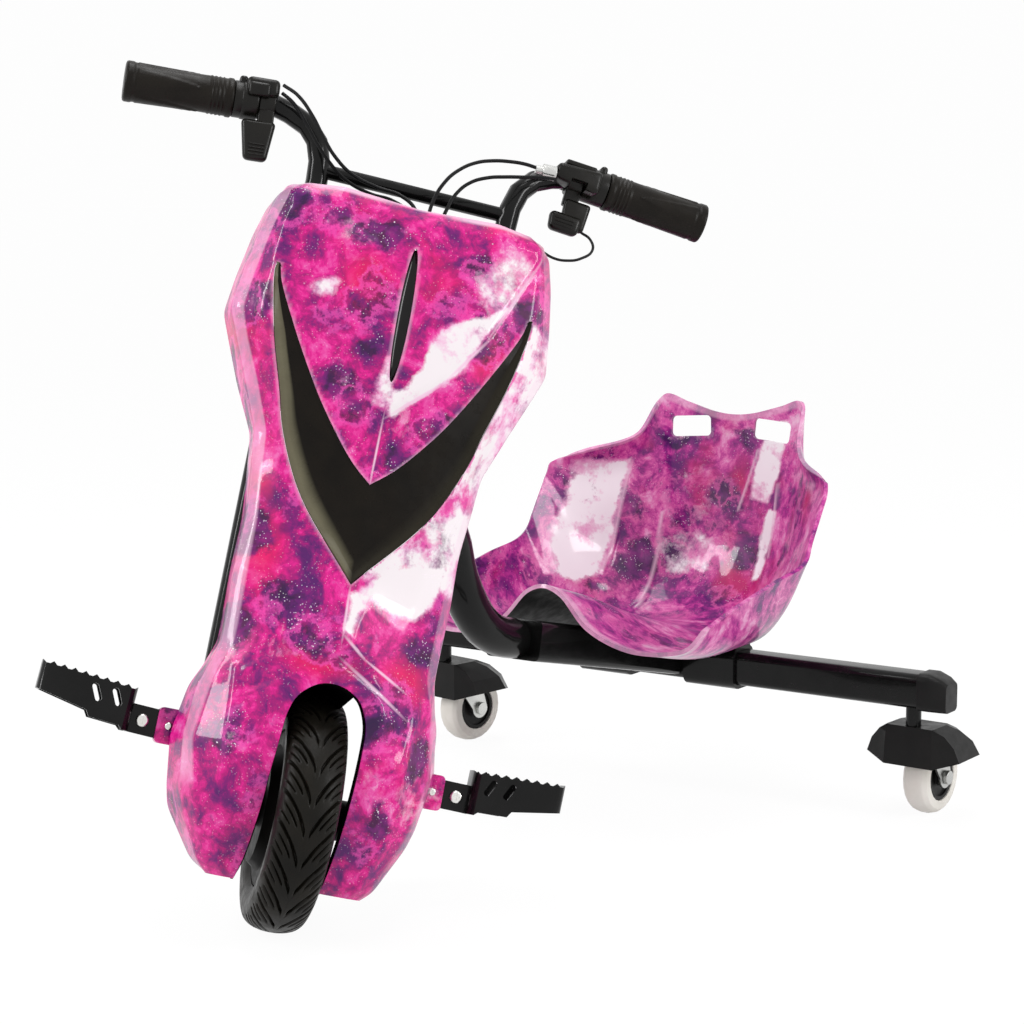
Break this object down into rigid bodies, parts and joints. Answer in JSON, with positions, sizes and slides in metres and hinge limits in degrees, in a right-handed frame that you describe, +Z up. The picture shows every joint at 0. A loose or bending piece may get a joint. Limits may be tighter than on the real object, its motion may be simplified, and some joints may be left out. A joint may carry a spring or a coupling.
{
  "type": "electric drift trike",
  "caption": "Child's three-wheeled electric drift trike: driven front wheel in a steered fork behind a moulded fairing, bucket seat, swivelling rear casters",
  "frame": {"origin": "on the floor under the middle of the trike's bounding box", "axes": "+Z up, -Y the way the trike drives, +X the rider's left; the front wheel is turned to the rider's left as it stands at rest"},
  "size_m": [0.6597, 0.8767, 0.7178],
  "materials": {
    "film": "printed galaxy film under gloss lacquer",
    "black_steel": "gloss black powder coat",
    "black_plastic": "satin moulded",
    "tyre": "moulded rubber",
    "grip": "moulded soft grip",
    "zinc": "zinc plated",
    "alloy": "cast and turned",
    "cream": "cast polyurethane",
    "cable": "smooth cable jacket"
  },
  "bodies": {
    "chassis": {"frame": "black_steel", "headset_cup_lower": "zinc", "headset_cup_upper": "zinc", "axle_cap_L": "black_plastic", "axle_cap_R": "black_plastic", "seat": "film", "seat_bracket_L": "black_steel", "seat_bracket_R": "black_steel"},
    "front_end": {"front_axle": "zinc", "fork": "black_steel", "handlebar": "black_steel", "grip_L": "grip", "grip_R": "grip", "fairing": "film", "fairing_v_insert": "black_plastic", "fairing_slot_insert": "black_plastic", "battery_case": "black_plastic", "peg_bracket_L": "film", "peg_bracket_R": "film", "foot_peg_L": "black_steel", "foot_peg_R": "black_steel", "throttle_housing": "black_plastic", "brake_housing": "black_plastic", "cable_adjuster": "alloy", "throttle_cable": "cable", "throttle_lead": "cable", "brake_cable": "cable", "brake_lead": "cable", "switch_wire": "cable"},
    "front_wheel": {"front_tyre": "tyre", "front_hub_motor": "alloy"},
    "throttle": {"throttle_paddle": "black_plastic"},
    "brake": {"brake_paddle": "black_plastic"},
    "caster_L": {"caster_kingpin_L": "black_steel", "caster_yoke_L": "zinc", "caster_hood_L": "black_plastic", "caster_bolt_L": "zinc"},
    "caster_wheel_L": {"caster_hub_L": "black_plastic", "caster_tread_L": "cream"},
    "caster_R": {"caster_kingpin_R": "black_steel", "caster_yoke_R": "zinc", "caster_hood_R": "black_plastic", "caster_bolt_R": "zinc"},
    "caster_wheel_R": {"caster_hub_R": "black_plastic", "caster_tread_R": "cream"}
  },
  "joints": [
    {"name": "steering", "type": "hinge", "parent": "chassis", "child": "front_end", "pos_m": [0, -0.22065, 0.34055], "axis": [0, 0.3256, 0.9455], "range_deg": [-101.4, 8.6]},
    {"name": "front_wheel_spin", "type": "hinge", "parent": "front_end", "child": "front_wheel", "pos_m": [0, -0.304, 0.0985], "axis": [0.6896, 0.6847, -0.2358], "continuous": true},
    {"name": "throttle_push", "type": "hinge", "parent": "front_end", "child": "throttle", "pos_m": [-0.10629, -0.19901, 0.6821], "axis": [-0.6871, -0.7101, 0.154], "range_deg": [0, 30], "stiffness_Nm_per_rad": 0.05},
    {"name": "brake_push", "type": "hinge", "parent": "front_end", "child": "brake", "pos_m": [0.08543, -0.00865, 0.61656], "axis": [-0.6871, -0.6544, 0.3158], "range_deg": [0, 30], "stiffness_Nm_per_rad": 0.05},
    {"name": "caster_swivel_L", "type": "hinge", "parent": "chassis", "child": "caster_L", "pos_m": [0.28, 0.298, 0.1], "axis": [0, 0, 1], "continuous": true},
    {"name": "caster_swivel_R", "type": "hinge", "parent": "chassis", "child": "caster_R", "pos_m": [-0.28, 0.298, 0.1], "axis": [0, 0, 1], "continuous": true},
    {"name": "caster_spin_L", "type": "hinge", "parent": "caster_L", "child": "caster_wheel_L", "pos_m": [0.28199, 0.33595, 0.0375], "axis": [0.9986, -0.0523, 0], "continuous": true},
    {"name": "caster_spin_R", "type": "hinge", "parent": "caster_R", "child": "caster_wheel_R", "pos_m": [-0.2734, 0.33542, 0.0375], "axis": [0.9848, -0.1736, 0], "continuous": true}
  ]
}
